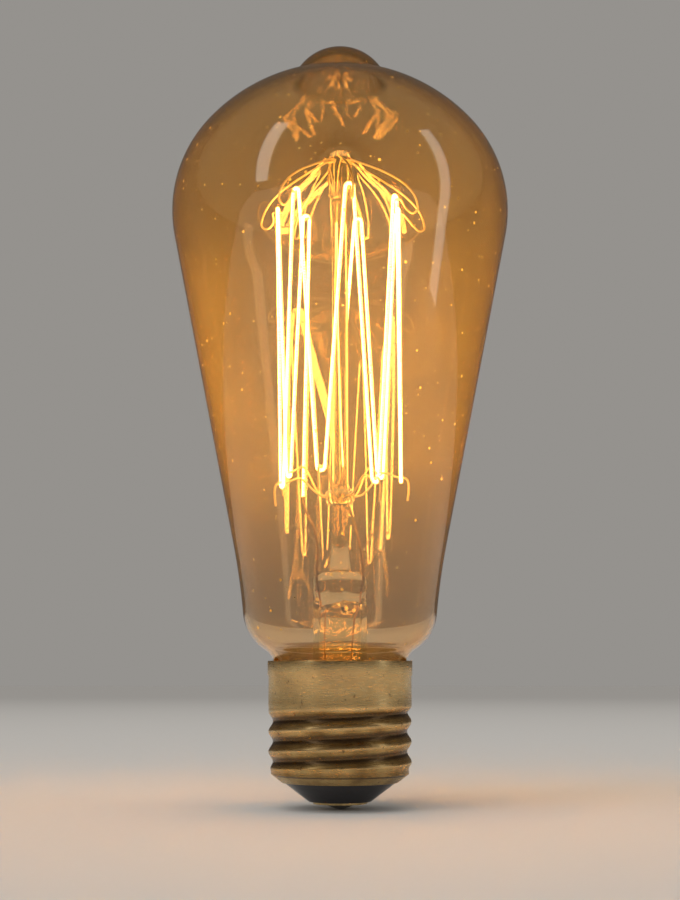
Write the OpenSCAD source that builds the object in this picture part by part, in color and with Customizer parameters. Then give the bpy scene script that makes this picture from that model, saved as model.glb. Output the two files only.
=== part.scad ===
// Clear filament light bulb: teardrop glass with a drawn tip, a squirrel-cage
// filament on a glass mount, and a brass screw cap.
// Millimetres. The origin is the centre of the cap's top rim, +Z runs up the
// glass and -Y is the front. An azimuth is 0 at the front and grows to the right.

/* [Glass envelope] */
// Outside diameter of the glass at its widest
bulb_d = 64; // [54:0.5:77]
// Height of the glass above the cap's rim, to the end of the drawn tip
glass_h = 118; // [108:0.5:142]
// Thickness of the blown wall
wall = 0.8; // [0.6:0.1:1.2]
// Radius of the shoulder, where the cone turns over into the dome
shoulder_r = 24.2; // [18:0.1:25]
// Angle above the widest ring at which the shoulder gives way to the crown
crown_turn = 40.5; // [20:0.5:45]
// Outside diameter of the swelling above the cap
foot_d = 35.8; // [32:0.2:43]
// Radius of that swelling's curve
foot_r = 8.8; // [8:0.1:12]
// How far the swelling stands out from the line of the cone
foot_swell = 0.7; // [0.2:0.1:1.5]
// Radius of the hollow curve between the swelling and the cone
waist_r = 129; // [80:1:200]

/* [Drawn tip] */
// Radius of the rounded tip
tip_r = 9.8; // [8:0.1:12]
// Height of the tip above the crown of the dome
tip_rise = 5.2; // [3:0.1:6]
// Radius of the crease round the tip
tip_crease = 1.2; // [0.6:0.1:2]
// Thickness of the glass at the tip
tip_wall = 1.2; // [0.8:0.1:3]

/* [Neck and stem] */
// Outside diameter of the glass neck inside the cap
neck_d = 24; // [23:0.1:24.4]
// Depth of the neck inside the cap, to its seal with the stem
neck_in = 7; // [5:0.1:7]
// Radius of the hollow curve from the neck to the swelling
neck_blend = 3.8; // [2.5:0.1:5]
// Height at which the neck starts to widen, from the cap's rim
neck_top = -1.2; // [-2:0.1:-0.6]
// Outside diameter of the stem tube
stem_d = 10; // [9:0.1:12]
// Thickness of the stem tube and its flare
stem_wall = 1; // [0.8:0.1:1.4]
// Height of the top of the stem's bore
bore_top = 10.5; // [8:0.1:12]
// Height of the top of the pinched press
press_top = 16.3; // [14:0.1:22]
// Thickness of the press, front to back
press_t = 5; // [4:0.1:7]

/* [Support rod] */
// Diameter of the glass rod
rod_d = 3; // [2.5:0.1:4]
// Diameter of the rod's foot on the press
rod_foot_d = 4.4; // [4:0.1:4.9]
// Height of the underside of the button
button_base = 88.5; // [80:0.5:90]
// Diameter of the button
button_d = 4.6; // [4:0.1:6]
// Height at which the upper supports leave the button
fan_z = 95.4; // [94:0.1:98]
// Diameter of the lower bead
bead_d = 5.6; // [5:0.1:7]
// Height of the middle of the lower bead
bead_z = 30.4; // [28:0.1:31]
// Length of the lower bead along the rod
bead_h = 3; // [2.4:0.1:4]

/* [Filament] */
// Number of upper loops
loops = 7; // [5:1:8]
// Radius of the cage at its upper loops
cage_top_r = 12; // [10:0.1:14]
// Radius of the cage at its lower loops
cage_low_r = 11.4; // [10:0.1:14]
// Height of the upper loops' centres
loop_top_z = 86.5; // [84:0.5:88]
// Height of the lower loops' centres
loop_low_z = 33.7; // [33:0.1:38]
// Azimuth of the first upper loop, beside the left lead
first_loop = 214; // [205:1:222]
// Diameter of the coiled filament
coil_d = 0.7; // [0.4:0.05:0.9]
// Radius of each loop, at the middle of the coil
loop_r = 0.75; // [0.7:0.05:0.9]

/* [Supports and leads] */
// Diameter of the support wires
support_d = 0.4; // [0.3:0.05:0.5]
// Radius that the upper supports reach out to
hook_reach = 16.4; // [15.5:0.1:18]
// Diameter of the inner leads
lead_d = 0.5; // [0.4:0.05:0.6]
// Diameter of the outer leads
tail_d = 0.3; // [0.25:0.05:0.35]
// Distance of each lead from the axis at the top of the press
lead_x = 4.2; // [3.8:0.1:4.3]
// Clearance round a wire in its seal
seal_gap = 0.02; // [0.01:0.01:0.04]

/* [Screw cap] */
// Outside diameter of the plain skirt
skirt_d = 26.2; // [26.1:0.1:27]
// Outside diameter of the lip round the top of the skirt
lip_d = 26.55; // [26.4:0.05:27.4]
// Height of that lip
lip_h = 2.4; // [2.4:0.1:3]
// Length of the plain skirt
skirt_h = 8; // [8:0.1:9.5]
// Thickness of the brass
shell_t = 0.35; // [0.25:0.05:0.4]
// Diameter over the crests of the thread
crest_d = 26.1; // [26:0.05:26.45]
// Diameter at the roots of the thread
root_d = 24.5; // [24.2:0.05:24.8]
// Pitch of the thread
pitch = 3.63; // [3.5:0.01:3.7]
// Length of the thread
thread_h = 12; // [10:0.1:15]
// Length of the cone that holds the insulator
collar_h = 1.8; // [1.4:0.1:2.4]
// Radius of the cap at the end of that cone
collar_r = 10.6; // [9.5:0.1:11]
// Depth of the black insulator below the cone
insulator_h = 3.4; // [2.5:0.1:4.5]
// Diameter of the centre contact
contact_d = 9.8; // [8:0.1:12]
// Thickness of the centre contact
contact_t = 0.4; // [0.3:0.05:0.6]
// Height of the solder drop on the contact
drop_h = 0.9; // [0.6:0.1:1.2]
// Azimuth of the soldered lead on the rim
rim_joint = 210; // [190:1:230]

/* [Hidden] */
UPPER = [for (i = [1:loops]) str("upper_support_", i)];
LOWER = [for (i = [1:loops - 1]) str("lower_support_", i)];

// How far each loop in turn stands above the even height, as wound by hand
loop_lift = [0.4, 2, -1, -1.2, 0, 1, 0, -1, -0.6, 0.2, 0, 2, 0.3];
// How far each upper support in turn reaches past the even radius, as bent by hand
hook_spread = [0, -1.2, 0, 0, 0.4, 1.4, -0.4];
// Where the filament's two ends meet the leads
left_end = [-7, 5, 31];
right_end = [-1, 6, 36.8];
// The inner leads' bends: x, y and the share of the way up from the press to the lead's end
left_bends = [[-4.1, 0.4, 0.27], [-4.8, 1.6, 0.56], [-6.3, 3.6, 0.77]];
right_bends = [[4, 0.8, 0.18], [3, 2.4, 0.4], [1.6, 4.3, 0.62]];
wire_sides = 8;

neck_r = neck_d / 2;
neck_bore_r = neck_r - wall;
stem_r = stem_d / 2;
stem_bore_r = stem_r - stem_wall;
bore_round = 2;
flare_r = neck_bore_r - stem_r;
flare_z = flare_r - neck_in;
skirt_r = skirt_d / 2;
skirt_bore_r = skirt_r - shell_t;
lip_r = lip_d / 2;
lip_step = 0.4;
thread_r = (crest_d + root_d) / 4;
thread_depth = (crest_d - root_d) / 4;
thread_end = -skirt_h - thread_h;
collar_end = thread_end - collar_h;
contact_top = collar_end - insulator_h;
drop_top = contact_top - contact_t;
wire_hole_r = 0.7;
button_top = fan_z + 2;
step = 180 / loops;

// ---- Plain geometry ----

function arc(c, r, from, to, n) =
    [for (i = [0:n]) let (a = from + (to - from) * i / n) c + r * [cos(a), sin(a)]];
function reversed(v) = [for (i = [len(v) - 1:-1:0]) v[i]];
function bearing(v) = atan2(v[1], v[0]);
function unit(v) = v / norm(v);
function around(azimuth, r, z) = [r * sin(azimuth), -r * cos(azimuth), z];
function bezier(p, n, from = 0) = [for (i = [from:n]) let (t = i / n, s = 1 - t)
    s * s * s * p[0] + 3 * s * s * t * p[1] + 3 * s * t * t * p[2] + t * t * t * p[3]];
// A smooth curve through every point of a path, without its last point
function through(p, n) = [for (i = [0:len(p) - 2], k = [0:n - 1])
    let (a = p[max(i - 1, 0)], b = p[i], c = p[i + 1], d = p[min(i + 2, len(p) - 1)], t = k / n)
    b + t * (c - a) / 2 + t * t * (a - 2.5 * b + 2 * c - d / 2) + t * t * t * (3 * b - a - 3 * c + d) / 2];

// A round wire along a path. across is a direction that no stretch of it follows.
module wire(path, across, d) {
    last = len(path) - 1;
    heading = [for (i = [0:last]) unit(path[min(i + 1, last)] - path[max(i - 1, 0)])];
    points = [for (i = [0:last])
        let (w = len(across) > last ? across[i] : across[0],
             u = unit(cross(w, heading[i])), v = cross(heading[i], u))
        for (k = [0:wire_sides - 1])
            path[i] + d / 2 * (cos(360 * k / wire_sides) * u + sin(360 * k / wire_sides) * v)];
    sides = [for (i = [0:last - 1], k = [0:wire_sides - 1])
        let (a = i * wire_sides + k, b = i * wire_sides + (k + 1) % wire_sides)
        each [[a, a + wire_sides, b], [b, a + wire_sides, b + wire_sides]]];
    ends = [[for (k = [0:wire_sides - 1]) k],
            [for (k = [wire_sides - 1:-1:0]) last * wire_sides + k]];
    polyhedron(points, concat(sides, ends));
}

// A straight round bar from one point to another
module bar(from, to, d) {
    run = to - from;
    translate(from)
        rotate([0, acos(run[2] / norm(run)), atan2(run[1], run[0])])
            cylinder(h = norm(run), d = d, $fn = 32);
}

// ---- Glass envelope ----

// The outline is a chain of arcs, each tangent to the next. inset moves it into the glass.
neck_c = [neck_r + neck_blend, neck_top];
foot_x = foot_d / 2 - foot_r;
foot_c = [foot_x, neck_top + sqrt(pow(foot_r + neck_blend, 2) - pow(neck_c[0] - foot_x, 2))];
shoulder_x = bulb_d / 2 - shoulder_r;
crown_r = shoulder_r + shoulder_x / cos(crown_turn);
crown_c = [0, glass_h - tip_rise - crown_r];
shoulder_c = [shoulder_x, crown_c[1] + shoulder_x * tan(crown_turn)];
tip_c = [0, glass_h - tip_r];
foot_line_r = foot_r - foot_swell;
foot_to_shoulder = shoulder_c - foot_c;
cone_angle = 90 - bearing(foot_to_shoulder)
    + asin((shoulder_r - foot_line_r) / norm(foot_to_shoulder));
cone_out = [cos(cone_angle), -sin(cone_angle)];
cone_up = [sin(cone_angle), cos(cone_angle)];
waist_c = foot_c + (foot_line_r + waist_r) * cone_out
    + sqrt(pow(waist_r + foot_r, 2) - pow(waist_r + foot_line_r, 2)) * cone_up;

// Centre of a fillet of radius f between circles of radii a and b, centred on the axis
function fillet_c(ca, a, cb, b, f) =
    let (z = (pow(a + f, 2) - pow(b + f, 2) - ca[1] * ca[1] + cb[1] * cb[1]) / (2 * (cb[1] - ca[1])))
    [sqrt(pow(a + f, 2) - pow(z - ca[1], 2)), z];

function skin(inset, tip_inset, crease) =
    let (ra = crown_r - inset, rb = tip_r - tip_inset,
         crease_c = fillet_c(crown_c, ra, tip_c, rb, crease))
    concat(
        arc(neck_c, neck_blend + inset, 180, bearing(foot_c - neck_c), 8),
        arc(foot_c, foot_r - inset, bearing(neck_c - foot_c), bearing(waist_c - foot_c), 14),
        arc(waist_c, waist_r + inset, 180 + bearing(waist_c - foot_c), 180 - cone_angle, 6),
        arc(shoulder_c, shoulder_r - inset, -cone_angle, crown_turn, 18),
        arc(crown_c, ra, crown_turn, bearing(crease_c - crown_c), 12),
        arc(crease_c, crease, 180 + bearing(crease_c - crown_c), 180 + bearing(crease_c - tip_c), 5),
        arc(tip_c, rb, bearing(crease_c - tip_c), 90, 10));

module glass_envelope() {
    color([0.86, 0.6, 0.25, 0.35])
        rotate_extrude($fn = 96)
            polygon(concat([[neck_r, -neck_in]],
                           skin(0, 0, tip_crease),
                           reversed(skin(wall, tip_wall, tip_crease + wall)),
                           [[neck_bore_r, -neck_in]]));
}

// ---- Stem and support rod ----

press_round = 1.6;
lead_low = [stem_bore_r - 1, 0, bore_top - 1.4];
lead_high = [lead_x, 0, press_top];
lead_rise = unit(lead_high - lead_low);
lead_joint = (lead_low + lead_high) / 2;

function mirrored(p, side) = [side * p[0], p[1], p[2]];

// The flare is fused to the neck's lower end, and the press is the tube's pinched top.
module stem() {
    color([0.9, 0.7, 0.4, 0.6]) difference() {
        union() {
            rotate_extrude($fn = 96)
                polygon(concat(
                    [[neck_r, -neck_in - stem_wall], [neck_r, -neck_in]],
                    reversed(arc([neck_bore_r, flare_z], flare_r, 180, 270, 12)),
                    arc([stem_r - bore_round, bore_top - bore_round + stem_wall], bore_round, 0, 90, 6),
                    [[0, bore_top + stem_wall], [0, bore_top]],
                    reversed(arc([stem_bore_r - bore_round, bore_top - bore_round], bore_round, 0, 90, 6)),
                    arc([neck_bore_r, flare_z], flare_r + stem_wall, 180, 270, 12)));
            intersection() {
                rotate_extrude($fn = 96)
                    polygon(concat([[0, bore_top], [stem_bore_r, bore_top],
                                    [stem_bore_r, bore_top - bore_round],
                                    [stem_r, bore_top - bore_round]],
                                   arc([stem_r - press_round, press_top - press_round],
                                       press_round, 0, 90, 6),
                                   [[0, press_top]]));
                translate([-stem_r, -press_t / 2, 0])
                    cube([stem_d, press_t, press_top + 1]);
            }
        }
        for (side = [-1, 1])
            bar(mirrored(lead_low - 2 * lead_rise, side), mirrored(lead_high + lead_rise, side),
                lead_d + 2 * seal_gap);
    }
}

module support_rod() {
    color([0.9, 0.75, 0.5, 0.6]) difference() {
        rotate_extrude($fn = 64)
            polygon(concat(
                [[0, press_top], [rod_foot_d / 2, press_top], [rod_foot_d / 2 - 0.2, press_top + 1.2],
                 [rod_d / 2, press_top + 5], [rod_d / 2, button_base - 1]],
                [[button_d / 2 - 0.2, button_base], [button_d / 2, button_base + 0.4]],
                arc([button_d / 2 - 1.4, button_top - 1.4], 1.4, 0, 90, 6),
                [[0, button_top]]));
        for (i = [0:loops - 1])
            bar(around(first_loop + 2 * step * i, button_d / 5, fan_z),
                around(first_loop + 2 * step * i, button_d, fan_z), support_d + 2 * seal_gap);
    }
}

module lower_bead() {
    color([0.9, 0.75, 0.5, 0.6]) difference() {
        rotate_extrude($fn = 64)
            polygon(concat([[rod_d / 2, bead_z - bead_h / 2]],
                           arc([bead_d / 2 - 1, bead_z - bead_h / 2 + 1], 1, -90, 0, 5),
                           arc([bead_d / 2 - 1, bead_z + bead_h / 2 - 1], 1, 0, 90, 5),
                           [[rod_d / 2, bead_z + bead_h / 2]]));
        for (i = [0:loops - 2])
            bar(around(lower_azimuth(i), rod_d / 2 + 0.4, bead_z),
                around(lower_azimuth(i), bead_d, bead_z), support_d + 2 * seal_gap);
    }
}

// ---- Filament and its supports ----

// The wire's bends are numbered from the left lead: even bends are upper loops, odd ones lower.
bends = 2 * loops - 1;
function bend_azimuth(k) = first_loop + step * k;
function bend_radius(k) = k % 2 == 0 ? cage_top_r : cage_low_r;
function bend_z(k) = (k % 2 == 0 ? loop_top_z : loop_low_z) + loop_lift[k % len(loop_lift)];
function lower_azimuth(i) = bend_azimuth(2 * i + 1);

bend_steps = 8;
function bend(k) = [for (i = [0:bend_steps])
    let (a = 180 * i / bend_steps, up = k % 2 == 0 ? 1 : -1)
    around(bend_azimuth(k) - loop_r * cos(a) * 180 / PI / bend_radius(k),
           bend_radius(k), bend_z(k) + up * loop_r * sin(a))];

filament_path = concat([left_end], [for (k = [0:bends - 1]) each bend(k)], [right_end]);
module filament() {
    outward = [for (p = filament_path) unit([p[0], p[1], 0])];
    color([1, 0.8, 0.35]) wire(filament_path, outward, coil_d);
}

// In a support's own plane x is the distance from the axis and y the height.
module radial_wire(azimuth, outline, d) {
    path = [for (p = outline) around(azimuth, p[0], p[1])];
    wire(path, [[cos(azimuth), sin(azimuth), 0]], d);
}

// An upper support slopes out from the button, curls under and comes back through its loop.
curl_r = 1;
curl_turn = 145;
curl_drop = 2.2;
hook_lap = 0.9;
module upper_support(i) {
    z = bend_z(2 * i);
    reach = hook_reach + hook_spread[i % len(hook_spread)];
    top = [button_d / 2 + 0.3, fan_z];
    curl_c = [reach - curl_r, z - curl_drop];
    leave = curl_c + curl_r * [cos(curl_turn), -sin(curl_turn)];
    back = leave + 1.6 * curl_r * [cos(curl_turn), sin(curl_turn)];
    color([0.8, 0.5, 0.2])
        radial_wire(bend_azimuth(2 * i), concat(
            [[button_d / 5 + 0.05, fan_z], top],
            bezier([top, [reach / 2, fan_z - 2.8], [reach - 0.5, z + 3.2], curl_c + [curl_r, 0]], 12, 1),
            [for (a = [-20:-20:-curl_turn]) curl_c + curl_r * [cos(a), sin(a)]],
            bezier([leave, back, [cage_top_r + 1.6, z], [cage_top_r + 0.8, z]], 5, 1),
            [[cage_top_r - hook_lap, z]]), support_d);
}

// A lower support arches up from the bead, goes through its loop and ends in a short tail.
module lower_support(i) {
    z = bend_z(2 * i + 1);
    color([0.75, 0.45, 0.15])
        radial_wire(lower_azimuth(i), concat(
            [[rod_d / 2 + 0.45, bead_z], [bead_d / 2 + 0.3, bead_z]],
            bezier([[bead_d / 2 + 0.3, bead_z], [cage_low_r * 0.5, bead_z],
                    [cage_low_r * 0.6, z + 1.6], [cage_low_r * 0.75, z + 0.9]], 7, 1),
            bezier([[cage_low_r * 0.75, z + 0.9], [cage_low_r * 0.87, z + 0.4],
                    [cage_low_r - 1, z], [cage_low_r - 0.3, z]], 4, 1),
            bezier([[cage_low_r + 0.4, z], [cage_low_r + 1.5, z],
                    [cage_low_r + 1.7, z - 1.4], [cage_low_r + 1.2, z - 4.4]], 6)), support_d);
}

// ---- Leads ----

module inner_lead(side, bends, end, loop) {
    top = mirrored(lead_high + 0.8 * lead_rise, side);
    route = [for (b = bends) [b[0], b[1], press_top + b[2] * (end[2] - press_top)]];
    meet = end - 1.2 * unit(loop - end);
    color([0.3, 0.2, 0.12])
        wire(concat([mirrored(lead_joint, side)], through(concat([top], route, [meet]), 4), [meet, end]),
             [[0, 1, 0]], lead_d);
}

module left_inner_lead() inner_lead(-1, left_bends, left_end, bend(0)[0]);
module right_inner_lead() inner_lead(1, right_bends, right_end, bend(bends - 1)[bend_steps]);

// The rim lead runs under the flare, up beside the neck and over the rim to its solder.
gap_r = (neck_r + skirt_bore_r) / 2;
over_r = lip_r + tail_d / 2 + 0.05;
over_z = tail_d / 2 + 0.15;
under_z = -neck_in - stem_wall - 1.2;
rim_solder_z = -lip_h / 2;
module rim_lead() {
    color([0.8, 0.45, 0.25])
        wire(concat([mirrored(lead_joint, -1)],
                    through([mirrored(lead_low, -1), [-stem_bore_r + 1.3, 0.2, 0],
                             around(rim_joint, 2.6, -neck_in + 1),
                             around(rim_joint, stem_r, under_z + 0.4),
                             around(rim_joint, neck_r - 3, under_z - 0.3),
                             around(rim_joint, neck_r - 0.7, under_z),
                             around(rim_joint, gap_r, under_z + 1.7)], 4),
                    [around(rim_joint, gap_r, under_z + 1.7), around(rim_joint, gap_r, -0.1),
                     around(rim_joint, gap_r + 0.1, over_z * 0.8),
                     around(rim_joint, (gap_r + over_r) / 2, over_z),
                     around(rim_joint, over_r - 0.05, over_z * 0.6),
                     around(rim_joint, over_r, -0.3), around(rim_joint, over_r, rim_solder_z)]),
             [[cos(rim_joint), sin(rim_joint), 0]], tail_d);
}

module contact_lead() {
    color([0.8, 0.45, 0.25])
        wire(concat([mirrored(lead_joint, 1)],
                    through([lead_low, [stem_bore_r - 2, 0, 0], [0.6, 0, -14], [0, 0, collar_end]], 5),
                    [[0, 0, collar_end], [0, 0, drop_top]]),
             [[0, 1, 0]], tail_d);
}

// ---- Screw cap ----

// The thread is a round wave. Both its ends fade into plain metal inside the skirt and the collar.
thread_sides = 40;
thread_rings = 36;
lap = 0.5;
collar_top_r = thread_r - 0.2;
function blend(t) = let (s = min(max(t, 0), 1)) s * s * (3 - 2 * s);
function wave(z, a) =
    let (down = blend((-skirt_h - z) / 1.6), up = blend((z - thread_end) / 1.6),
         plain = down < 1 ? skirt_r - 0.05 : collar_top_r - 0.05)
    plain + (thread_r + thread_depth * cos(a - 360 * z / pitch) - plain) * min(down, up);
function metal(z) = shell_t - 0.1 * (1 - min(blend((-skirt_h - z) / 0.5), blend((z - thread_end) / 0.5)));

module thread() {
    heights = concat([lap - skirt_h],
                     [for (i = [0:thread_rings]) -skirt_h - thread_h * i / thread_rings],
                     [thread_end - 0.2]);
    n = thread_sides;
    m = len(heights);
    function ring(inside) = [for (z = heights, k = [0:n - 1]) let (a = 360 * k / n)
        let (r = wave(z, a) - inside * metal(z)) [r * cos(a), r * sin(a), z]];
    outer = [for (i = [0:m - 2], k = [0:n - 1])
        let (a = i * n + k, b = i * n + (k + 1) % n) each [[a, b, a + n], [b, b + n, a + n]]];
    inner = [for (f = outer) [f[0], f[2], f[1]] + [m * n, m * n, m * n]];
    top = [for (k = [0:n - 1]) let (a = k, b = (k + 1) % n) each
        [[a, a + m * n, b], [b, a + m * n, b + m * n]]];
    foot = [for (f = top) [f[0], f[2], f[1]] + (m - 1) * n * [1, 1, 1]];
    polyhedron(concat(ring(0), ring(1)), concat(outer, inner, top, foot));
}

// The skirt's wall from its foot to the rim, moved in from its outer face
function skirt_line(inset, foot) =
    [[skirt_r - inset, foot], [skirt_r - inset, -lip_h - lip_step], [lip_r - inset, -lip_h],
     [lip_r - inset, 0]];

module screw_shell() {
    color([0.72, 0.55, 0.25]) union() {
        rotate_extrude($fn = 96)
            polygon(concat(skirt_line(0, -skirt_h), reversed(skirt_line(shell_t, -skirt_h))));
        thread();
        rotate_extrude($fn = 96)
            polygon([[collar_top_r - shell_t, thread_end], [collar_top_r, thread_end],
                     [collar_r, collar_end], [collar_r - shell_t, collar_end]]);
    }
}

cement_low = 0.4 - neck_in;
module cap_cement() {
    color([0.75, 0.7, 0.6]) difference() {
        rotate_extrude($fn = 96)
            polygon(concat([[neck_r, cement_low]],
                           [for (p = skirt_line(shell_t, cement_low)) [p[0], min(p[1], neck_top)]],
                           [[neck_r, neck_top]]));
        translate(around(rim_joint, gap_r, -neck_in))
            cylinder(h = neck_in, r = lip_r - gap_r, $fn = 32);
    }
}

module cap_insulator() {
    seat = collar_top_r - shell_t;
    color([0.08, 0.07, 0.08])
        rotate_extrude($fn = 96)
            polygon([[wire_hole_r, thread_end - 0.6],
                     [seat - (seat - collar_r + shell_t) * 0.6 / collar_h, thread_end - 0.6],
                     [collar_r - shell_t, collar_end], [contact_d / 2 + 0.8, contact_top],
                     [wire_hole_r, contact_top]]);
}

module centre_contact() {
    color([0.8, 0.62, 0.3])
        rotate_extrude($fn = 64)
            translate([wire_hole_r, drop_top])
                square([contact_d / 2 - wire_hole_r, contact_t]);
}

// The solder drop is the cap of a ball.
drop_r = 2.8;
drop_ball = (drop_r * drop_r + drop_h * drop_h) / (2 * drop_h);
module contact_solder() {
    color([0.7, 0.7, 0.72])
        rotate_extrude($fn = 64)
            polygon(concat([[0, drop_top]],
                           reversed(arc([0, drop_top - drop_h + drop_ball], drop_ball, -90,
                                        -asin((drop_ball - drop_h) / drop_ball), 8))));
}

module rim_solder() {
    color([0.7, 0.7, 0.72]) difference() {
        translate(around(rim_joint, lip_r - 0.2, rim_solder_z))
            sphere(r = lip_h / 2 - 0.1, $fn = 48);
        translate([0, 0, -skirt_h])
            cylinder(h = skirt_h + 1, r = lip_r, $fn = 96);
        translate(around(rim_joint, over_r, rim_solder_z))
            cylinder(h = 3, d = tail_d + 2 * seal_gap, $fn = 32);
    }
}

glass_envelope();
stem();
support_rod();
lower_bead();
filament();
left_inner_lead();
right_inner_lead();
rim_lead();
contact_lead();
screw_shell();
cap_cement();
cap_insulator();
centre_contact();
contact_solder();
rim_solder();
for (i = [0:loops - 1])
    upper_support(i);
for (i = [0:loops - 2])
    lower_support(i);
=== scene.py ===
import math

import bmesh
import bpy
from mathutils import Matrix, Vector, noise


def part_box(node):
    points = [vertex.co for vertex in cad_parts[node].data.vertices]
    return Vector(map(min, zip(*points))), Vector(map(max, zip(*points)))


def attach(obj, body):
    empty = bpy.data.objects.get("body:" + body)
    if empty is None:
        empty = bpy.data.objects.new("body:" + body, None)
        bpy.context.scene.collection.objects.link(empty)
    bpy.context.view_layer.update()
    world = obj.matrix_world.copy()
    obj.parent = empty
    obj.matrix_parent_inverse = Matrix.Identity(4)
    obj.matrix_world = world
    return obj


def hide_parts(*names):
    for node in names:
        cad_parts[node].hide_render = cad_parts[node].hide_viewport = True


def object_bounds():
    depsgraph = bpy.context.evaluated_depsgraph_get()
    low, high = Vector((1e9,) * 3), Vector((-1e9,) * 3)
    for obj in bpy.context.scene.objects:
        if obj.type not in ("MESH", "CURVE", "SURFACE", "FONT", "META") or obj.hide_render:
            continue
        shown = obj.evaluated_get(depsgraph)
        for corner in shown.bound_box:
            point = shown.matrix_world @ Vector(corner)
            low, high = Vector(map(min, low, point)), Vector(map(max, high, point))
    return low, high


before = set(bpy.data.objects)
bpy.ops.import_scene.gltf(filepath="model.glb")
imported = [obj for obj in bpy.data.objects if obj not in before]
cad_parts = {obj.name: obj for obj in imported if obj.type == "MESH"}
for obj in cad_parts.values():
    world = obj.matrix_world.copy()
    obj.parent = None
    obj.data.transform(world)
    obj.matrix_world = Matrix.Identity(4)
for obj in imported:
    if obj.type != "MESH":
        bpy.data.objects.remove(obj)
cad_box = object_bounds()

# ---- Screw shell ----
# One piece of thin brass sheet, drawn to a cup and rolled: a lip at the rim, a plain skirt, a round
# right-handed thread and a cone that grips the insulator. Handling has dulled and browned it.

mm = 0.001
shell_t = 0.35
skirt_r, lip_r, lip_h, lip_round, step_h = 13.1, 13.275, 2.4, 0.12, 0.4
skirt_end, thread_end, collar_end = -8.0, -20.0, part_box("screw_shell")[0][2] / mm
collar_r, collar_step = 10.6, 0.1
pitch, crest_r, root_r = 3.63, 13.05, 12.25
thread_r, thread_fade, thread_rows = (crest_r + root_r) / 2, 1.6, 96


def arc(centre, radius, start, end, steps):
    """Points of an arc in the outline's plane, in degrees from the +r direction."""
    turns = [math.radians(start + (end - start) * i / steps) for i in range(steps + 1)]
    return [(centre[0] + radius * math.cos(t), centre[1] + radius * math.sin(t)) for t in turns]


def lathe(outline, steps):
    """Spins an outline of (radius, height) points in millimetres round the bulb's axis."""
    bm = bmesh.new()
    line = [bm.verts.new((r * mm, 0, z * mm)) for r, z in outline]
    edges = [bm.edges.new((a, b)) for a, b in zip(line, line[1:]) if max(a.co.x, b.co.x) > 1e-9]
    bmesh.ops.spin(bm, geom=line + edges, cent=(0, 0, 0), axis=(0, 0, 1),
                   angle=2 * math.pi, steps=steps, use_merge=True)
    bmesh.ops.remove_doubles(bm, verts=bm.verts, dist=1e-7)
    bmesh.ops.recalc_face_normals(bm, faces=bm.faces)
    return bm


def piece(name, bm, *materials):
    """Turns a finished bmesh into a smooth object of the bulb."""
    mesh = bpy.data.meshes.new(name)
    bm.to_mesh(mesh)
    bm.free()
    mesh.shade_smooth()
    mesh.set_sharp_from_angle(angle=math.radians(35))
    for material in materials:
        mesh.materials.append(material)
    made = bpy.data.objects.new(name, mesh)
    bpy.context.collection.objects.link(made)
    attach(made, "root")
    return made


def material(name):
    """A new material: itself, its node adder, its link maker and its shader."""
    made = bpy.data.materials.new(name)
    made.use_nodes = True
    nodes, links = made.node_tree.nodes, made.node_tree.links
    return made, nodes, links, nodes["Principled BSDF"]


def noise_map(nodes, links, scale, detail=3.0, stretch=(1, 1, 1)):
    """Noise on the piece's own coordinates, scale being its cells in a metre."""
    coords = nodes.new("ShaderNodeTexCoord")
    place = nodes.new("ShaderNodeMapping")
    place.inputs["Scale"].default_value = stretch
    made = nodes.new("ShaderNodeTexNoise")
    made.inputs["Scale"].default_value = scale
    made.inputs["Detail"].default_value = detail
    links.new(coords.outputs["Object"], place.inputs["Vector"])
    links.new(place.outputs["Vector"], made.inputs["Vector"])
    return made.outputs["Fac"]


def ramp(nodes, links, value, *stops):
    """A colour ramp over value, from (place, colour) stops."""
    made = nodes.new("ShaderNodeValToRGB")
    while len(made.color_ramp.elements) < len(stops):
        made.color_ramp.elements.new(0.5)
    for element, (place, colour) in zip(made.color_ramp.elements, stops):
        element.position = place
        element.color = (*colour, 1) if len(colour) == 3 else (colour[0],) * 3 + (1,)
    links.new(value, made.inputs["Fac"])
    return made.outputs["Color"]


def bump(nodes, links, shader, height, strength, distance):
    """Raises the surface by a height map, distance being its depth in metres."""
    made = nodes.new("ShaderNodeBump")
    made.inputs["Strength"].default_value = strength
    made.inputs["Distance"].default_value = distance
    links.new(height, made.inputs["Height"])
    links.new(made.outputs["Normal"], shader.inputs["Normal"])


def ease(t):
    """A smooth step from 0 to 1."""
    t = min(max(t, 0.0), 1.0)
    return t * t * (3 - 2 * t)


def shell_line(inset):
    """The shell's outline from the rim down, before the thread is rolled in."""
    if inset:
        rim = [(lip_r - inset, 0)]
    else:
        rim = arc((lip_r - lip_round, -lip_round), lip_round, 90, 0, 4)
    thread = [(thread_r - inset, skirt_end + (thread_end - skirt_end) * i / thread_rows)
              for i in range(thread_rows + 1)]
    return (rim + [(lip_r - inset, -lip_h), (skirt_r - inset, -lip_h - step_h),
                   (skirt_r - inset, skirt_end + 0.6)] + thread
            + [(thread_r - collar_step - inset, thread_end - 0.3), (collar_r - inset, collar_end)])


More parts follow.
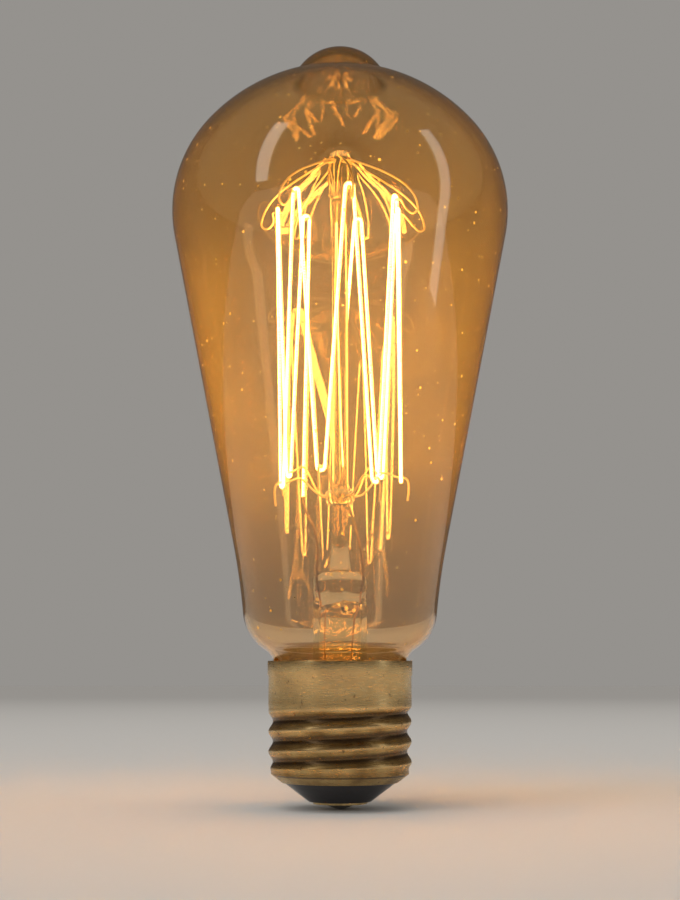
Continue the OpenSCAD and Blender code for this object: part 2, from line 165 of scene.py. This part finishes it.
shell = lathe(shell_line(0) + shell_line(shell_t)[::-1] + shell_line(0)[:1], 180)
for v in shell.verts:
    radius, z = math.hypot(v.co.x, v.co.y) / mm, v.co.z / mm
    if thread_end - 0.1 < z < skirt_end + 0.1:
        turn = math.atan2(v.co.y, v.co.x)
        fade = ease((skirt_end - z) / thread_fade) * ease((z - thread_end) / thread_fade)
        unrolled = skirt_r if z > (skirt_end + thread_end) / 2 else thread_r - collar_step
        wave = thread_r + (crest_r - root_r) / 2 * math.cos(turn - 2 * math.pi * z / pitch)
        moved = radius - thread_r + unrolled + (wave - unrolled) * fade
        v.co.x, v.co.y = v.co.x * moved / radius, v.co.y * moved / radius


def mottle(nodes, links, socket, scale, detail, dark, light):
    """Lets a socket of the shader wander between two values in patches."""
    links.new(ramp(nodes, links, noise_map(nodes, links, scale, detail), (0.3, dark), (0.7, light)), socket)


def mixed(nodes, links, share, first, second):
    """One colour going over to another by share."""
    made = nodes.new("ShaderNodeMix")
    made.data_type = "RGBA"
    links.new(share, made.inputs["Factor"])
    for value, socket in ((first, made.inputs["A"]), (second, made.inputs["B"])):
        if isinstance(value, tuple):
            socket.default_value = (*value, 1)
        else:
            links.new(value, socket)
    return made.outputs["Result"]


def axis_distance(nodes, links, near, far):
    """How far out from the bulb's axis a point lies, from 0 at near to 1 at far, in millimetres."""
    coords = nodes.new("ShaderNodeTexCoord")
    flat = nodes.new("ShaderNodeVectorMath")
    flat.operation = "MULTIPLY"
    flat.inputs[1].default_value = (1, 1, 0)
    size = nodes.new("ShaderNodeVectorMath")
    size.operation = "LENGTH"
    span = nodes.new("ShaderNodeMapRange")
    span.inputs["From Min"].default_value = near * mm
    span.inputs["From Max"].default_value = far * mm
    links.new(coords.outputs["Object"], flat.inputs[0])
    links.new(flat.outputs["Vector"], size.inputs[0])
    links.new(size.outputs["Value"], span.inputs["Value"])
    return span.outputs["Result"]


brass, nodes, links, shader = material("aged_brass")
shader.inputs["Metallic"].default_value = 1.0
stain = noise_map(nodes, links, 170, 6)
stained = ramp(nodes, links, stain, (0.32, (0.26, 0.15, 0.055)), (0.5, (0.52, 0.34, 0.13)),
               (0.72, (0.70, 0.50, 0.22)))
# The brass is darker in the thread's roots and lighter on its worn crests.
across_thread = axis_distance(nodes, links, root_r - 0.6, crest_r)
root_dark = ramp(nodes, links, across_thread, (0.3, (0.1,)), (0.45, (1.0,)), (0.52, (0.9,)), (0.74, (0.0,)))
root_darkened = mixed(nodes, links, root_dark, stained, (0.12, 0.075, 0.04))
wear = ramp(nodes, links, across_thread, (0.88, (0.0,)), (1.0, (0.55,)))
worn = mixed(nodes, links, wear, root_darkened, (0.80, 0.60, 0.30))
spots = ramp(nodes, links, noise_map(nodes, links, 950, 3), (0.66, (0.0,)), (0.74, (0.7,)))
links.new(mixed(nodes, links, spots, worn, (0.16, 0.09, 0.045)), shader.inputs["Base Color"])
grain = noise_map(nodes, links, 500, 5, (1, 1, 14))
links.new(ramp(nodes, links, grain, (0.3, (0.20,)), (0.7, (0.42,))), shader.inputs["Roughness"])
bump(nodes, links, shader, grain, 0.35, 0.00006)
shell_piece = piece("rolled_shell", shell, brass)
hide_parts("screw_shell")

# ---- Inside and foot of the cap ----
# Baked cement holds the glass in the shell. Black glass, pressed into the cone, carries the stamped
# brass contact, and soft solder closes the holes that the two outer leads come through.

cement, nodes, links, shader = material("baked_cement")
mottle(nodes, links, shader.inputs["Base Color"], 900, 5, (0.50, 0.44, 0.34), (0.74, 0.68, 0.56))
shader.inputs["Roughness"].default_value = 0.9
bump(nodes, links, shader, noise_map(nodes, links, 2500, 5), 0.6, 0.0001)

black_glass, nodes, links, shader = material("black_glass")
shader.inputs["Base Color"].default_value = (0.012, 0.010, 0.012, 1)
mottle(nodes, links, shader.inputs["Roughness"], 500, 4, (0.06,), (0.22,))
bump(nodes, links, shader, noise_map(nodes, links, 260, 3), 0.3, 0.0002)

contact_brass, nodes, links, shader = material("stamped_brass")
shader.inputs["Metallic"].default_value = 1.0
mottle(nodes, links, shader.inputs["Base Color"], 420, 5, (0.38, 0.26, 0.11), (0.74, 0.57, 0.28))
mottle(nodes, links, shader.inputs["Roughness"], 1500, 4, (0.25,), (0.45,))

solder, nodes, links, shader = material("soft_solder")
shader.inputs["Metallic"].default_value = 1.0
mottle(nodes, links, shader.inputs["Base Color"], 700, 4, (0.34, 0.33, 0.33), (0.62, 0.62, 0.63))
mottle(nodes, links, shader.inputs["Roughness"], 1300, 4, (0.28,), (0.5,))
bump(nodes, links, shader, noise_map(nodes, links, 800, 3), 0.5, 0.0002)


def finish_node(name, finish):
    """Gives a CAD node its material."""
    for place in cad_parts[name].material_slots:
        place.material = finish


finish_node("cap_cement", cement)
finish_node("cap_insulator", black_glass)
finish_node("centre_contact", contact_brass)
finish_node("contact_solder", solder)
finish_node("rim_solder", solder)

# ---- Stem, rod and bead ----
# Clear glass, worked in the flame: the tube is flared at its foot to meet the neck, its top is
# pinched flat on the leads, and a drawn rod on it carries a button and a bead for the supports.

neck_r, wall, neck_in = 12.0, 0.8, 7.0
stem_r, stem_wall, bore_top = 5.0, 1.0, 10.5
stem_round, bore_round = 1.6, 2.4
rod_low, rod_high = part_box("support_rod")
press_top, press_t = rod_low[2] / mm, 5.0
pinch_low, pinch_reach = bore_top - 4.0, 5.0
crease_low, crease_reach, crease_fade = bore_top - 3.0, 2.0, 4.0
lump_size, lump_in, lump_out = 420, 1.1, 0.2
neck_bore = neck_r - wall
flare_r = neck_bore - stem_r
flare_z = flare_r - neck_in


def clear_glass(name, tint):
    """Glass that lets lamp light through; the last thing returned is where its surface plugs in."""
    made, nodes, links, shader = material(name)
    shader.inputs["Base Color"].default_value = tint
    shader.inputs["Roughness"].default_value = 0.0
    shader.inputs["IOR"].default_value = 1.5
    shader.inputs["Transmission Weight"].default_value = 1.0
    open_to_lamps = nodes.new("ShaderNodeBsdfTransparent")
    open_to_lamps.inputs["Color"].default_value = tint
    rays = nodes.new("ShaderNodeLightPath")
    mix = nodes.new("ShaderNodeMixShader")
    links.new(rays.outputs["Is Shadow Ray"], mix.inputs[0])
    links.new(shader.outputs["BSDF"], mix.inputs[1])
    links.new(open_to_lamps.outputs["BSDF"], mix.inputs[2])
    links.new(mix.outputs["Shader"], nodes["Material Output"].inputs["Surface"])
    return made, nodes, links, shader, mix.inputs[1]


stem_glass, nodes, links, shader, surface = clear_glass("drawn_glass", (0.98, 0.90, 0.72, 1))
bump(nodes, links, shader, noise_map(nodes, links, 160, 2), 0.10, 0.0005)

stem = lathe(
    [(neck_r, -neck_in - stem_wall), (neck_r, -neck_in)]
    + arc((neck_bore, flare_z), flare_r, 270, 180, 18)
    + [(stem_r, z) for z in (4.0, 8.0, 11.0, 13.0)]
    + arc((stem_r - stem_round, press_top - stem_round), stem_round, 0, 90, 8)
    + [(2.0, press_top), (0, press_top)], 128)
bore = lathe(
    [(neck_r, -neck_in - stem_wall)]
    + arc((neck_bore, flare_z), flare_r + stem_wall, 270, 180, 18)
    + [(stem_r - stem_wall, z) for z in (2.0, 5.0, 7.5)]
    + arc((stem_r - stem_wall - bore_round, bore_top - bore_round), bore_round, 0, 90, 10)
    + [(0, bore_top)], 128)
joined = bpy.data.meshes.new("bore")
bore.to_mesh(joined)
bore.free()
stem.from_mesh(joined)
bpy.data.meshes.remove(joined)
bmesh.ops.remove_doubles(stem, verts=stem.verts, dist=1e-7)
bmesh.ops.recalc_face_normals(stem, faces=stem.faces)
for v in stem.verts:
    z = v.co.z / mm
    pinch = ease((z - pinch_low) / pinch_reach)
    v.co.y *= 1 - pinch * (1 - press_t / (2 * stem_r))
    creased = ease((z - crease_low) / crease_reach) * ease((press_top - z) / crease_fade)
    lump = noise.noise(v.co * lump_size) * creased
    inside = math.hypot(v.co.x, v.co.y) / mm < stem_r - 0.6
    v.co.z += (lump_in if inside else lump_out) * lump * mm
stem_piece = piece("pressed_stem", stem, stem_glass)
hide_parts("stem")

rod_r, rod_foot_r, rod_foot_h, rod_gap = 1.5, 2.2, 5.4, 0.02
button_r, button_base, button_top, button_round, button_edge = 2.3, 88.5, rod_high[2] / mm, 1.4, 0.4
rod = lathe(
    [(0, press_top + rod_gap), (rod_foot_r, press_top + rod_gap)]
    + arc((rod_foot_r - 0.3, press_top + 0.4), 0.35, -60, 30, 4)
    + [(2.0, press_top + 1.6), (1.72, press_top + 3.4), (rod_r, press_top + rod_foot_h),
       (rod_r, 40), (rod_r, 60), (rod_r, button_base - 1.2), (1.62, button_base - 0.5)]
    + arc((button_r - button_edge, button_base + 0.3), button_edge, -70, 0, 5)
    + arc((button_r - button_round, button_top - button_round), button_round, 0, 90, 10)
    + [(0, button_top)], 64)
rod_piece = piece("drawn_rod", rod, stem_glass)
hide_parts("support_rod")

bead_low, bead_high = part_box("lower_bead")
bead_r, bead_z, bead_h = bead_high[0] / mm, (bead_low[2] + bead_high[2]) / 2 / mm, 3.0
bead_hole, bead_round = rod_r + 0.01, 1.2
bead_band = bead_h / 2 - bead_round
bead = lathe(
    [(bead_hole, bead_z - bead_h / 2)]
    + arc((bead_r - bead_round, bead_z - bead_band), bead_round, -80, 0, 8)
    + arc((bead_r - bead_round, bead_z + bead_band), bead_round, 0, 80, 8)
    + [(bead_hole, bead_z + bead_h / 2), (bead_hole, bead_z - bead_h / 2)], 64)
bead_piece = piece("glass_bead", bead, stem_glass)
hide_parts("lower_bead")

# ---- Leads and supports ----
# Drawn wire, sealed into the glass while it was soft. The heat of the filament has tinted the
# supports straw and brown, and the inner leads are dark with oxide.

support_wire, nodes, links, shader = material("heat_tinted_wire")
shader.inputs["Metallic"].default_value = 1.0
mottle(nodes, links, shader.inputs["Base Color"], 260, 4, (0.80, 0.55, 0.25), (0.98, 0.84, 0.55))
mottle(nodes, links, shader.inputs["Roughness"], 1800, 3, (0.28,), (0.5,))

oxide_wire, nodes, links, shader = material("oxide_wire")
shader.inputs["Metallic"].default_value = 0.7
mottle(nodes, links, shader.inputs["Base Color"], 700, 4, (0.07, 0.04, 0.025), (0.20, 0.12, 0.07))
shader.inputs["Roughness"].default_value = 0.5

copper_wire, nodes, links, shader = material("copper_wire")
shader.inputs["Metallic"].default_value = 1.0
mottle(nodes, links, shader.inputs["Base Color"], 600, 4, (0.45, 0.20, 0.09), (0.80, 0.42, 0.24))
shader.inputs["Roughness"].default_value = 0.35

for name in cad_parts:
    if name.startswith(("upper_support", "lower_support")):
        finish_node(name, support_wire)
finish_node("left_inner_lead", oxide_wire)
finish_node("right_inner_lead", oxide_wire)
finish_node("rim_lead", copper_wire)
finish_node("contact_lead", copper_wire)

# ---- Filament ----
# One long coil of fine tungsten wire, hooked by hand over seven upper and under six lower supports.
# It glows white-hot, and the coil's fine turns show against each other.

loops, first_loop = 7, 214.0
cage_top_r, cage_low_r = 12.0, 11.4
loop_top_z, loop_low_z, loop_r = 86.5, 33.7, 0.75
loop_lift = (0.4, 2, -1, -1.2, 0, 1, 0, -1, -0.6, 0.2, 0, 2, 0.3)
left_end, right_end = Vector((-7, 5, 31)), Vector((-1, 6, 36.8))
coil_r, coil_wire_r, coil_pitch, coil_points = 0.29, 0.06, 0.3, 7


def around(azimuth, radius, z):
    """A point in millimetres, its azimuth growing to the right from the front."""
    a = math.radians(azimuth)
    return Vector((radius * math.sin(a), -radius * math.cos(a), z))


def bend(k):
    """One loop of the coil's centre line, over or under its support."""
    up = 1 if k % 2 == 0 else -1
    radius = cage_top_r if up > 0 else cage_low_r
    z = (loop_top_z if up > 0 else loop_low_z) + loop_lift[k]
    turns = [math.pi * i / 12 for i in range(13)]
    return [around(first_loop + 180 / loops * k - math.degrees(loop_r * math.cos(t) / radius),
                   radius, z + up * loop_r * math.sin(t)) for t in turns]


route = [left_end] + [p for k in range(2 * loops - 1) for p in bend(k)] + [right_end]
lengths = [0.0]
for a, b in zip(route, route[1:]):
    lengths.append(lengths[-1] + (b - a).length)

coil = bpy.data.curves.new("coiled_filament", "CURVE")
coil.dimensions = "3D"
coil.bevel_depth = coil_wire_r * mm
coil.bevel_resolution = 0
turn_line = coil.splines.new("POLY")
count = int(lengths[-1] / coil_pitch * coil_points)
turn_line.points.add(count)
place = 0
for i in range(count + 1):
    s = lengths[-1] * i / count
    while lengths[place + 1] < s and place < len(route) - 2:
        place += 1
    a, b = route[place], route[place + 1]
    middle = a.lerp(b, (s - lengths[place]) / (b - a).length)
    along = (b - a).normalized()
    out = Vector((middle.x, middle.y, 0)).normalized()
    out = (out - along * out.dot(along)).normalized()
    turn = 2 * math.pi * i / coil_points
    point = middle + coil_r * (math.cos(turn) * out + math.sin(turn) * along.cross(out))
    turn_line.points[i].co = (*(point * mm), 1)

glow, nodes, links, shader = material("white_hot_wire")
shader.inputs["Base Color"].default_value = (0.4, 0.3, 0.2, 1)
shader.inputs["Roughness"].default_value = 0.5
shader.inputs["Emission Color"].default_value = (1.0, 0.53, 0.13, 1)
shader.inputs["Emission Strength"].default_value = 48.0
coil.materials.append(glow)
filament = bpy.data.objects.new("coiled_filament", coil)
bpy.context.collection.objects.link(filament)
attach(filament, "root")
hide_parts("filament")

# ---- Envelope ----
# Blown in one piece: a rounded foot over the neck, a long straight cone, a broad shoulder, a low
# crown and the drawn tip where it was pumped out and sealed. Its outside carries fine dust.

glass_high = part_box("glass_envelope")[1]
bulb_r, glass_h = glass_high[0] / mm, glass_high[2] / mm
shoulder_r, crown_turn = 24.2, 40.5
foot_r, foot_reach, foot_swell, waist_r = 8.8, 17.9, 0.7, 129.0
neck_blend, neck_top = 3.8, -1.2
tip_r, tip_rise, tip_crease, tip_wall = 9.8, 5.2, 1.2, 1.2


def bearing(a, b):
    """The direction from a to b, in degrees."""
    return math.degrees(math.atan2(b[1] - a[1], b[0] - a[0]))


def crease_centre(a, ra, b, rb, fillet):
    """The centre of a fillet outside two balls whose centres lie on the axis at a and b."""
    z = ((ra + fillet) ** 2 - (rb + fillet) ** 2 - a * a + b * b) / (2 * (b - a))
    return math.sqrt((ra + fillet) ** 2 - (z - a) ** 2), z


neck_c = (neck_r + neck_blend, neck_top)
foot_x = foot_reach - foot_r
foot_c = (foot_x, neck_top + math.sqrt((foot_r + neck_blend) ** 2 - (neck_c[0] - foot_x) ** 2))
shoulder_x = bulb_r - shoulder_r
crown_r = shoulder_r + shoulder_x / math.cos(math.radians(crown_turn))
crown_z = glass_h - tip_rise - crown_r
shoulder_c = (shoulder_x, crown_z + shoulder_x * math.tan(math.radians(crown_turn)))
tip_z = glass_h - tip_r
line_r = foot_r - foot_swell
apart = math.dist(shoulder_c, foot_c)
lean = 90 - bearing(foot_c, shoulder_c) + math.degrees(math.asin((shoulder_r - line_r) / apart))
lean_sin, lean_cos = math.sin(math.radians(lean)), math.cos(math.radians(lean))
rise = math.sqrt((waist_r + foot_r) ** 2 - (waist_r + line_r) ** 2)
waist_c = (foot_c[0] + (line_r + waist_r) * lean_cos + rise * lean_sin,
           foot_c[1] - (line_r + waist_r) * lean_sin + rise * lean_cos)


def skin(inset, tip_inset, crease):
    """The envelope's outline from the neck to the tip, inset into the glass."""
    ra, rb = crown_r - inset, tip_r - tip_inset
    crease_c = crease_centre(crown_z, ra, tip_z, rb, crease)
    on_crown, on_tip = bearing((0, crown_z), crease_c), bearing((0, tip_z), crease_c)
    waist_in = 180 + bearing(foot_c, waist_c)
    cone_low = (waist_c[0] - (waist_r + inset) * lean_cos, waist_c[1] + (waist_r + inset) * lean_sin)
    cone_high = (shoulder_c[0] + (shoulder_r - inset) * lean_cos,
                 shoulder_c[1] - (shoulder_r - inset) * lean_sin)
    rows = 24
    cone = [(cone_low[0] + (cone_high[0] - cone_low[0]) * i / rows,
             cone_low[1] + (cone_high[1] - cone_low[1]) * i / rows) for i in range(1, rows)]
    return (arc(neck_c, neck_blend + inset, 180, bearing(neck_c, foot_c), 10)
            + arc(foot_c, foot_r - inset, bearing(foot_c, neck_c), bearing(foot_c, waist_c), 24)[1:]
            + arc(waist_c, waist_r + inset, waist_in, 180 - lean, 8)[1:] + cone
            + arc(shoulder_c, shoulder_r - inset, -lean, crown_turn, 36)
            + arc((0, crown_z), ra, crown_turn, on_crown, 28)[1:]
            + arc(crease_c, crease, 180 + on_crown, 180 + on_tip, 10)[1:]
            + arc((0, tip_z), rb, on_tip, 90, 20)[1:-1] + [(0, tip_z + rb)])


envelope = lathe([(neck_r, -neck_in)] + skin(0, 0, tip_crease)
                 + skin(wall, tip_wall, tip_crease + wall)[::-1]
                 + [(neck_bore, -neck_in), (neck_r, -neck_in)], 192)

bulb_glass, nodes, links, shader, surface = clear_glass("blown_glass", (1, 1, 1, 1))
shader.inputs["Specular IOR Level"].default_value = 1.0
shader.inputs["Coat Weight"].default_value = 0.5
shader.inputs["Coat IOR"].default_value = 1.8
shader.inputs["Coat Roughness"].default_value = 0.0
# Painted shade: the glass's colour turns dark brown at grazing angles, a painted dark rim that outlines the
# glass.
painted_rim_facing = nodes.new("ShaderNodeLayerWeight")
links.new(ramp(nodes, links, painted_rim_facing.outputs["Facing"], (0.55, (1.0, 1.0, 1.0)), (0.78, (0.86, 0.74, 0.55)),
               (0.93, (0.42, 0.24, 0.10))), shader.inputs["Base Color"])
absorb = nodes.new("ShaderNodeVolumeAbsorption")
absorb.inputs["Color"].default_value = (0.86, 0.60, 0.04, 1)
absorb.inputs["Density"].default_value = 580.0
links.new(absorb.outputs["Volume"], nodes["Material Output"].inputs["Volume"])
bump(nodes, links, shader, noise_map(nodes, links, 40, 1), 0.025, 0.001)

haze = nodes.new("ShaderNodeBsdfTranslucent")
haze.inputs["Color"].default_value = (1.0, 0.84, 0.38, 1)


def math_node(nodes, links, operation, *values):
    """One Math node over numbers and other nodes' values."""
    made = nodes.new("ShaderNodeMath")
    made.operation = operation
    for value, socket in zip(values, made.inputs):
        if isinstance(value, float):
            socket.default_value = value
        else:
            links.new(value, socket)
    return made.outputs["Value"]


def speck_map(nodes, links, scale, radius, share):
    """Small round specks, one at most in each cell of a Voronoi pattern, in a share of the cells."""
    coords = nodes.new("ShaderNodeTexCoord")
    cells = nodes.new("ShaderNodeTexVoronoi")
    cells.inputs["Scale"].default_value = scale
    links.new(coords.outputs["Object"], cells.inputs["Vector"])
    chosen = nodes.new("ShaderNodeSeparateColor")
    links.new(cells.outputs["Color"], chosen.inputs["Color"])
    kept = math_node(nodes, links, "LESS_THAN", chosen.outputs["Red"], share)
    size = math_node(nodes, links, "MULTIPLY", chosen.outputs["Green"], radius)
    within = math_node(nodes, links, "LESS_THAN", cells.outputs["Distance"], size)
    return math_node(nodes, links, "MULTIPLY", kept, within)


coords = nodes.new("ShaderNodeTexCoord")
parts = nodes.new("ShaderNodeSeparateXYZ")
links.new(coords.outputs["Object"], parts.inputs["Vector"])
height = nodes.new("ShaderNodeMapRange")
height.inputs["From Max"].default_value = glass_h * mm
links.new(parts.outputs["Z"], height.inputs["Value"])
beside_coil = ramp(nodes, links, height.outputs["Result"], (0.05, (0.8,)), (0.2, (1.0,)),
                   (0.62, (1.0,)), (0.87, (0.3,)))
film = ramp(nodes, links, noise_map(nodes, links, 60, 4), (0.3, (0.03,)), (0.75, (0.055,)))
# The dust film is thinned at grazing angles, so that the painted dark rim of the glass shows.
edge = nodes.new("ShaderNodeLayerWeight")
clear_edge = ramp(nodes, links, edge.outputs["Facing"], (0.55, (1.0,)), (0.95, (0.15,)))
film = math_node(nodes, links, "MULTIPLY", film, beside_coil)
film = math_node(nodes, links, "MULTIPLY", film, clear_edge)
dust = math_node(nodes, links, "MULTIPLY_ADD", speck_map(nodes, links, 460, 0.13, 0.45), 0.7, film)
dusty = nodes.new("ShaderNodeMixShader")
links.new(dust, dusty.inputs[0])
links.new(shader.outputs["BSDF"], dusty.inputs[1])
links.new(haze.outputs["BSDF"], dusty.inputs[2])
links.new(dusty.outputs["Shader"], surface)

envelope_piece = piece("blown_envelope", envelope, bulb_glass)
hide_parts("glass_envelope")

# ---- Camera, floor and light ----
# The camera stands low, level with the cap's rim, and looks a little up the glass. The floor runs
# far back to a grey backdrop, and mirror reflections see dark cloth, which gives glass its outline.

camera_data = bpy.data.cameras.new("camera")
camera_data.lens = 62
camera_data.clip_start = 0.01
camera_tilt = 8.45
camera = bpy.data.objects.new("camera", camera_data)
camera.location = (0, -0.2875, -0.0035)
camera.rotation_euler = (math.radians(90 + camera_tilt), 0, 0)
bpy.context.collection.objects.link(camera)
bpy.context.scene.camera = camera

floor_half, floor_gap = 6, 0.0001
floor_mesh = bpy.data.meshes.new("floor")
sheet = bmesh.new()
bmesh.ops.create_grid(sheet, x_segments=1, y_segments=1, size=floor_half)
bmesh.ops.translate(sheet, verts=sheet.verts, vec=(0, 0, cad_box[0].z - floor_gap))
sheet.to_mesh(floor_mesh)
sheet.free()
floor = bpy.data.objects.new("floor", floor_mesh)
bpy.context.collection.objects.link(floor)
pale, nodes, links, shader = material("pale_floor")
# Painted light: the floor's colour is lighter round the bulb and darker far off, a painted pool of light
# that fades towards the backdrop.
painted_light_pool = ramp(nodes, links, axis_distance(nodes, links, 50, 2000), (0.0, (0.64, 0.625, 0.60)),
             (1.0, (0.44, 0.428, 0.411)))
painted_light_pool.node.color_ramp.interpolation = "EASE"
links.new(painted_light_pool, shader.inputs["Base Color"])
shader.inputs["Roughness"].default_value = 0.85
shader.inputs["Specular IOR Level"].default_value = 0.2
floor_mesh.materials.append(pale)

world = bpy.data.worlds.new("studio")
bpy.context.scene.world = world
world.use_nodes = True
nodes, links = world.node_tree.nodes, world.node_tree.links
sky = nodes["Background"]
sky.inputs["Color"].default_value = (0.84, 0.81, 0.77, 1)
sky.inputs["Strength"].default_value = 0.55
backdrop = nodes.new("ShaderNodeBackground")
backdrop.inputs["Color"].default_value = (0.30, 0.287, 0.27, 1)
dark_cloth = nodes.new("ShaderNodeBackground")
dark_cloth.inputs["Color"].default_value = (0.11, 0.09, 0.07, 1)
rays = nodes.new("ShaderNodeLightPath")
seen = math_node(nodes, links, "MAXIMUM", rays.outputs["Is Camera Ray"], rays.outputs["Is Transmission Ray"])
behind = nodes.new("ShaderNodeMixShader")
links.new(seen, behind.inputs[0])
links.new(sky.outputs["Background"], behind.inputs[1])
links.new(backdrop.outputs["Background"], behind.inputs[2])
mirrored = nodes.new("ShaderNodeMixShader")
links.new(rays.outputs["Is Glossy Ray"], mirrored.inputs[0])
links.new(behind.outputs["Shader"], mirrored.inputs[1])
links.new(dark_cloth.outputs["Background"], mirrored.inputs[2])
links.new(mirrored.outputs["Shader"], nodes["World Output"].inputs["Surface"])

sun = bpy.data.lights.new("soft_sun", "SUN")
sun.energy = 1.1
sun.angle = math.radians(60)
sun_holder = bpy.data.objects.new("soft_sun", sun)
sun_holder.rotation_euler = (math.radians(42), 0, math.radians(-35))
sun_holder.visible_glossy = False
sun_holder.visible_transmission = False
bpy.context.collection.objects.link(sun_holder)


def softbox(name, place, aim, size, power):
    """A tall soft lamp at place, in metres, that faces aim."""
    lamp = bpy.data.lights.new(name, "AREA")
    lamp.shape = "RECTANGLE"
    lamp.size, lamp.size_y = size
    lamp.energy = power
    made = bpy.data.objects.new(name, lamp)
    made.location = place
    made.rotation_euler = (Vector(aim) - Vector(place)).to_track_quat("-Z", "Y").to_euler()
    bpy.context.collection.objects.link(made)


softbox("key", (-0.95, -0.75, 0.75), (0, 0, 0.05), (0.22, 1.2), 1.2)
softbox("fill", (1.1, -0.35, 0.5), (0, 0, 0.05), (0.18, 1.2), 0.8)

bpy.context.scene.view_settings.view_transform = "Standard"
